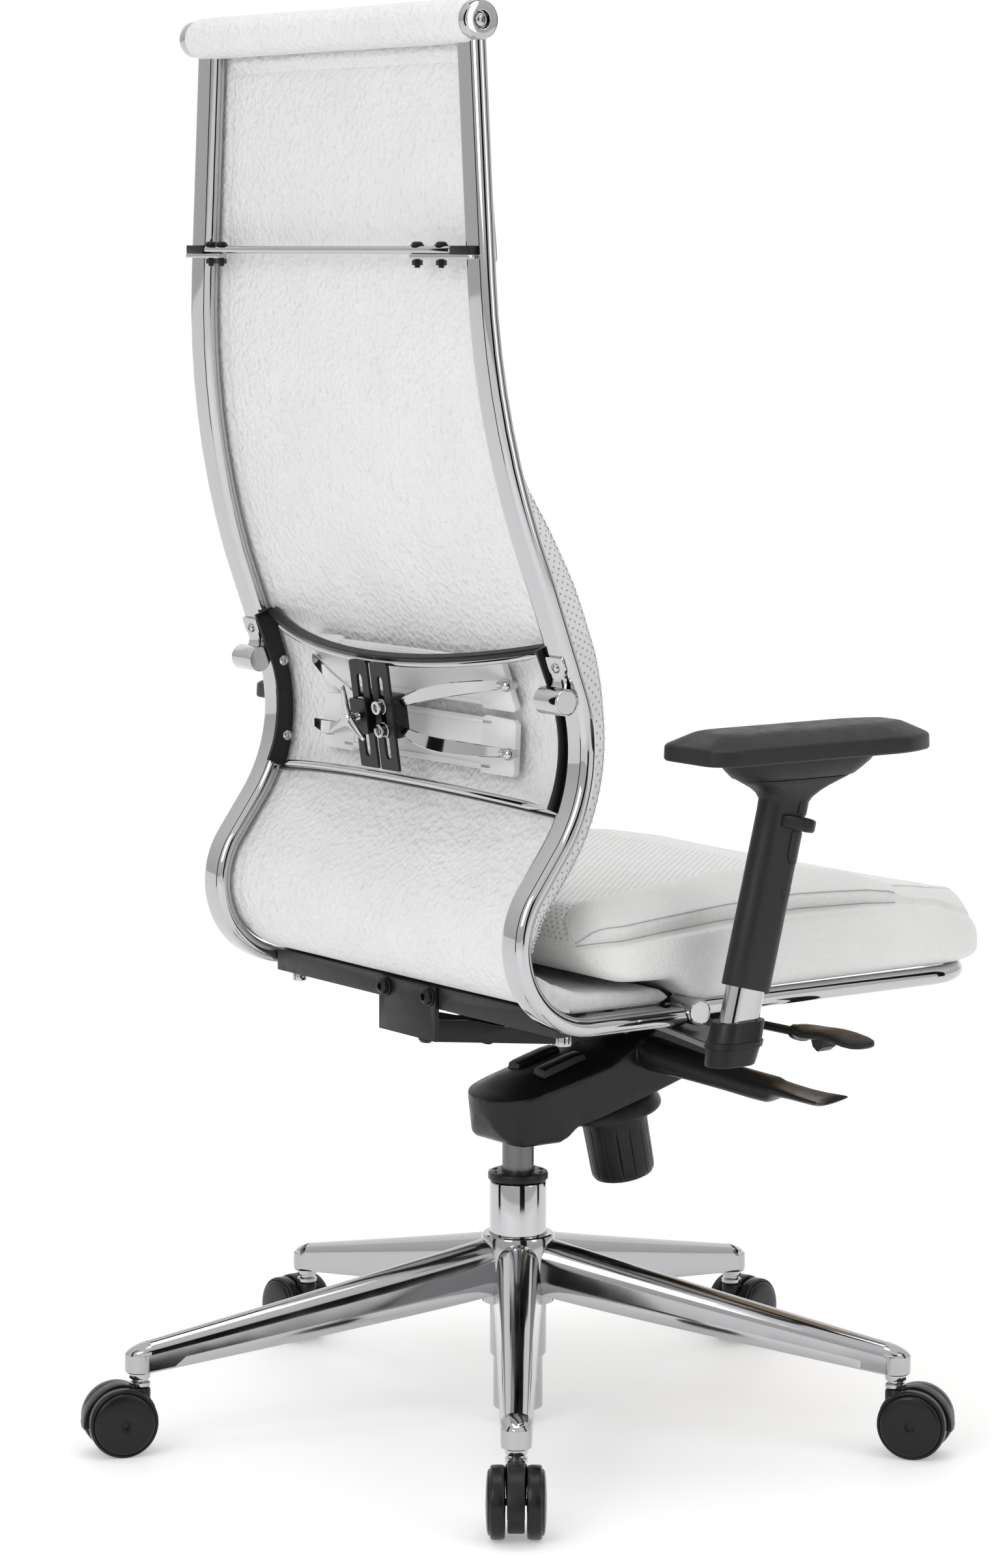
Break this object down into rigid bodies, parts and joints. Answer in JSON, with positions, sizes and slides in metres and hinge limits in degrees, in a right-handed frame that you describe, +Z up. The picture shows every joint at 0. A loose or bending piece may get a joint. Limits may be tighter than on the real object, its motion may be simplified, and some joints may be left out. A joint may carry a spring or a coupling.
{
  "type": "swivel office chair",
  "caption": "High-backed swivel office chair with a chrome frame, white leather, lumbar support, adjustable armrests and a star base on casters.",
  "frame": {"origin": "floor level under the gas lift's axis", "axes": "+Z up; the occupant faces -Y, with the back at +Y; +X is the occupant's left"},
  "size_m": [0.743, 0.7544, 1.2269],
  "materials": {
    "polished_aluminium": "mirror-polished cast aluminium with soft casting waves",
    "chrome": "bright chrome plate",
    "steel": "plain machined steel",
    "black_metal": "black powder coat with a fine grain",
    "grey_metal": "dark grey powder coat",
    "black_plastic": "fine-grained black moulded nylon",
    "arm_pad_foam": "soft-touch black polyurethane with a pebbled grain",
    "wheel_nylon": "satin black nylon with a softer tread",
    "white_leather": "white pebbled leather, perforated on the centre panels",
    "pad_plastic": "pale grey moulded plastic",
    "plywood": "moulded plywood"
  },
  "bodies": {
    "base": {"star_base": "polished_aluminium", "lift_cylinder": "chrome", "lift_collar": "black_plastic", "thrust_bearing": "steel", "caster_stems": "chrome"},
    "lift_spindle": {"lift_rod": "steel"},
    "mechanism": {"lift_tube": "black_metal", "mech_housing": "black_plastic", "mech_cover": "black_plastic", "pivot_shafts": "steel", "tension_spring": "steel"},
    "tension_knob": {"tension_knob": "black_plastic"},
    "tilt_lever": {"tilt_lever": "black_plastic"},
    "height_lever": {"height_lever": "black_plastic"},
    "back": {"back_tubes": "chrome", "head_roll": "white_leather", "roll_caps": "chrome", "crossbar": "chrome", "crossbar_clamps": "black_metal", "back_panel": "white_leather", "back_cushion": "white_leather", "head_pad": "white_leather", "back_stubs": "chrome", "lumbar_rails": "chrome", "lumbar_side_plates": "black_metal", "slotted_plates": "black_metal", "cross_plate": "grey_metal", "lever_bracket": "grey_metal", "back_lever": "black_metal", "chrome_screws": "chrome", "black_bolts": "black_metal"},
    "lumbar_carriage": {"carriage_block": "black_metal", "carriage_bolts": "chrome", "lumbar_arms": "chrome", "lumbar_pads": "pad_plastic"},
    "lumbar_knob": {"lumbar_knob": "chrome"},
    "seat": {"seat_frame": "chrome", "seat_plate": "grey_metal", "seat_rail": "grey_metal", "seat_board": "plywood", "seat_cushion": "white_leather", "arm_feet": "grey_metal", "arm_tubes": "chrome"},
    "arm_right": {"arm_sleeve_right": "black_plastic"},
    "arm_button_right": {"arm_button_right": "black_plastic"},
    "arm_pad_right": {"arm_pad_right": "arm_pad_foam"},
    "arm_left": {"arm_sleeve_left": "black_plastic"},
    "arm_button_left": {"arm_button_left": "black_plastic"},
    "arm_pad_left": {"arm_pad_left": "arm_pad_foam"},
    "caster_1": {"caster_1_hood": "black_plastic"},
    "wheels_1": {"caster_1_wheels": "wheel_nylon"},
    "caster_2": {"caster_2_hood": "black_plastic"},
    "wheels_2": {"caster_2_wheels": "wheel_nylon"},
    "caster_3": {"caster_3_hood": "black_plastic"},
    "wheels_3": {"caster_3_wheels": "wheel_nylon"},
    "caster_4": {"caster_4_hood": "black_plastic"},
    "wheels_4": {"caster_4_wheels": "wheel_nylon"},
    "caster_5": {"caster_5_hood": "black_plastic"},
    "wheels_5": {"caster_5_wheels": "wheel_nylon"}
  },
  "joints": [
    {"name": "seat_swivel", "type": "hinge", "parent": "base", "child": "lift_spindle", "pos_m": [0, 0, 0.1], "axis": [0, 0, 1], "continuous": true},
    {"name": "seat_height", "type": "slide", "parent": "lift_spindle", "child": "mechanism", "axis": [0, 0, 1], "range_m": [-0.02, 0.08]},
    {"name": "tension_turn", "type": "hinge", "parent": "mechanism", "child": "tension_knob", "pos_m": [0, -0.103, 0.272], "axis": [0, -0.2079, -0.9781], "continuous": true},
    {"name": "tilt_lock", "type": "hinge", "parent": "mechanism", "child": "tilt_lever", "pos_m": [-0.05, -0.104, 0.327], "axis": [1, 0, 0], "range_deg": [-12, 12]},
    {"name": "height_release", "type": "hinge", "parent": "mechanism", "child": "height_lever", "pos_m": [-0.05, -0.152, 0.36], "axis": [1, 0, 0], "range_deg": [0, 8], "stiffness_Nm_per_rad": 1.5, "springref_deg": -11.46},
    {"name": "back_recline", "type": "hinge", "parent": "mechanism", "child": "back", "pos_m": [0, -0.08, 0.352], "axis": [-1, 0, 0], "range_deg": [0, 16], "stiffness_Nm_per_rad": 60, "springref_deg": -51.57},
    {"name": "seat_tilt", "type": "hinge", "parent": "back", "child": "seat", "pos_m": [0, -0.009, 0.4], "axis": [1, 0, 0], "range_deg": [-0.2, 9.4]},
    {"name": "lumbar_height", "type": "slide", "parent": "back", "child": "lumbar_carriage", "axis": [0, 0.1392, 0.9903], "range_m": [-0.012, 0.012]},
    {"name": "lumbar_lock", "type": "hinge", "parent": "lumbar_carriage", "child": "lumbar_knob", "pos_m": [0.0155, 0.15, 0.636], "axis": [0, 0.9903, -0.1392], "continuous": true},
    {"name": "arm_height_right", "type": "slide", "parent": "seat", "child": "arm_right", "axis": [0, -0.2453, 0.9694], "range_m": [-0.02, 0.06]},
    {"name": "arm_release_right", "type": "slide", "parent": "arm_right", "child": "arm_button_right", "axis": [1, 0, 0], "range_m": [0, 0.003], "stiffness_N_per_m": 300, "springref_m": -0.004},
    {"name": "pad_slide_right", "type": "slide", "parent": "arm_right", "child": "arm_pad_right", "axis": [0, -1, 0], "range_m": [-0.025, 0.025]},
    {"name": "arm_height_left", "type": "slide", "parent": "seat", "child": "arm_left", "axis": [0, -0.2453, 0.9694], "range_m": [-0.02, 0.06]},
    {"name": "arm_release_left", "type": "slide", "parent": "arm_left", "child": "arm_button_left", "axis": [-1, 0, 0], "range_m": [0, 0.003], "stiffness_N_per_m": 300, "springref_m": -0.004},
    {"name": "pad_slide_left", "type": "slide", "parent": "arm_left", "child": "arm_pad_left", "axis": [0, -1, 0], "range_m": [-0.025, 0.025]},
    {"name": "caster_swivel_1", "type": "hinge", "parent": "base", "child": "caster_1", "pos_m": [0.342, 0, 0.05], "axis": [0, 0, 1], "continuous": true},
    {"name": "wheel_spin_1", "type": "hinge", "parent": "caster_1", "child": "wheels_1", "pos_m": [0.36, 0, 0.03], "axis": [0, 1, 0], "continuous": true},
    {"name": "caster_swivel_2", "type": "hinge", "parent": "base", "child": "caster_2", "pos_m": [0.10568, 0.32526, 0.05], "axis": [0, 0, 1], "continuous": true},
    {"name": "wheel_spin_2", "type": "hinge", "parent": "caster_2", "child": "wheels_2", "pos_m": [0.11125, 0.34238, 0.03], "axis": [-0.9511, 0.309, 0], "continuous": true},
    {"name": "caster_swivel_3", "type": "hinge", "parent": "base", "child": "caster_3", "pos_m": [-0.27668, 0.20102, 0.05], "axis": [0, 0, 1], "continuous": true},
    {"name": "wheel_spin_3", "type": "hinge", "parent": "caster_3", "child": "wheels_3", "pos_m": [-0.29125, 0.2116, 0.03], "axis": [-0.5878, -0.809, 0], "continuous": true},
    {"name": "caster_swivel_4", "type": "hinge", "parent": "base", "child": "caster_4", "pos_m": [-0.27668, -0.20102, 0.05], "axis": [0, 0, 1], "continuous": true},
    {"name": "wheel_spin_4", "type": "hinge", "parent": "caster_4", "child": "wheels_4", "pos_m": [-0.29125, -0.2116, 0.03], "axis": [0.5878, -0.809, 0], "continuous": true},
    {"name": "caster_swivel_5", "type": "hinge", "parent": "base", "child": "caster_5", "pos_m": [0.10568, -0.32526, 0.05], "axis": [0, 0, 1], "continuous": true},
    {"name": "wheel_spin_5", "type": "hinge", "parent": "caster_5", "child": "wheels_5", "pos_m": [0.11125, -0.34238, 0.03], "axis": [0.9511, 0.309, 0], "continuous": true}
  ],
  "couplings": [
    {"joint": "seat_tilt", "follows": "back_recline", "ratio": 0.575}
  ]
}
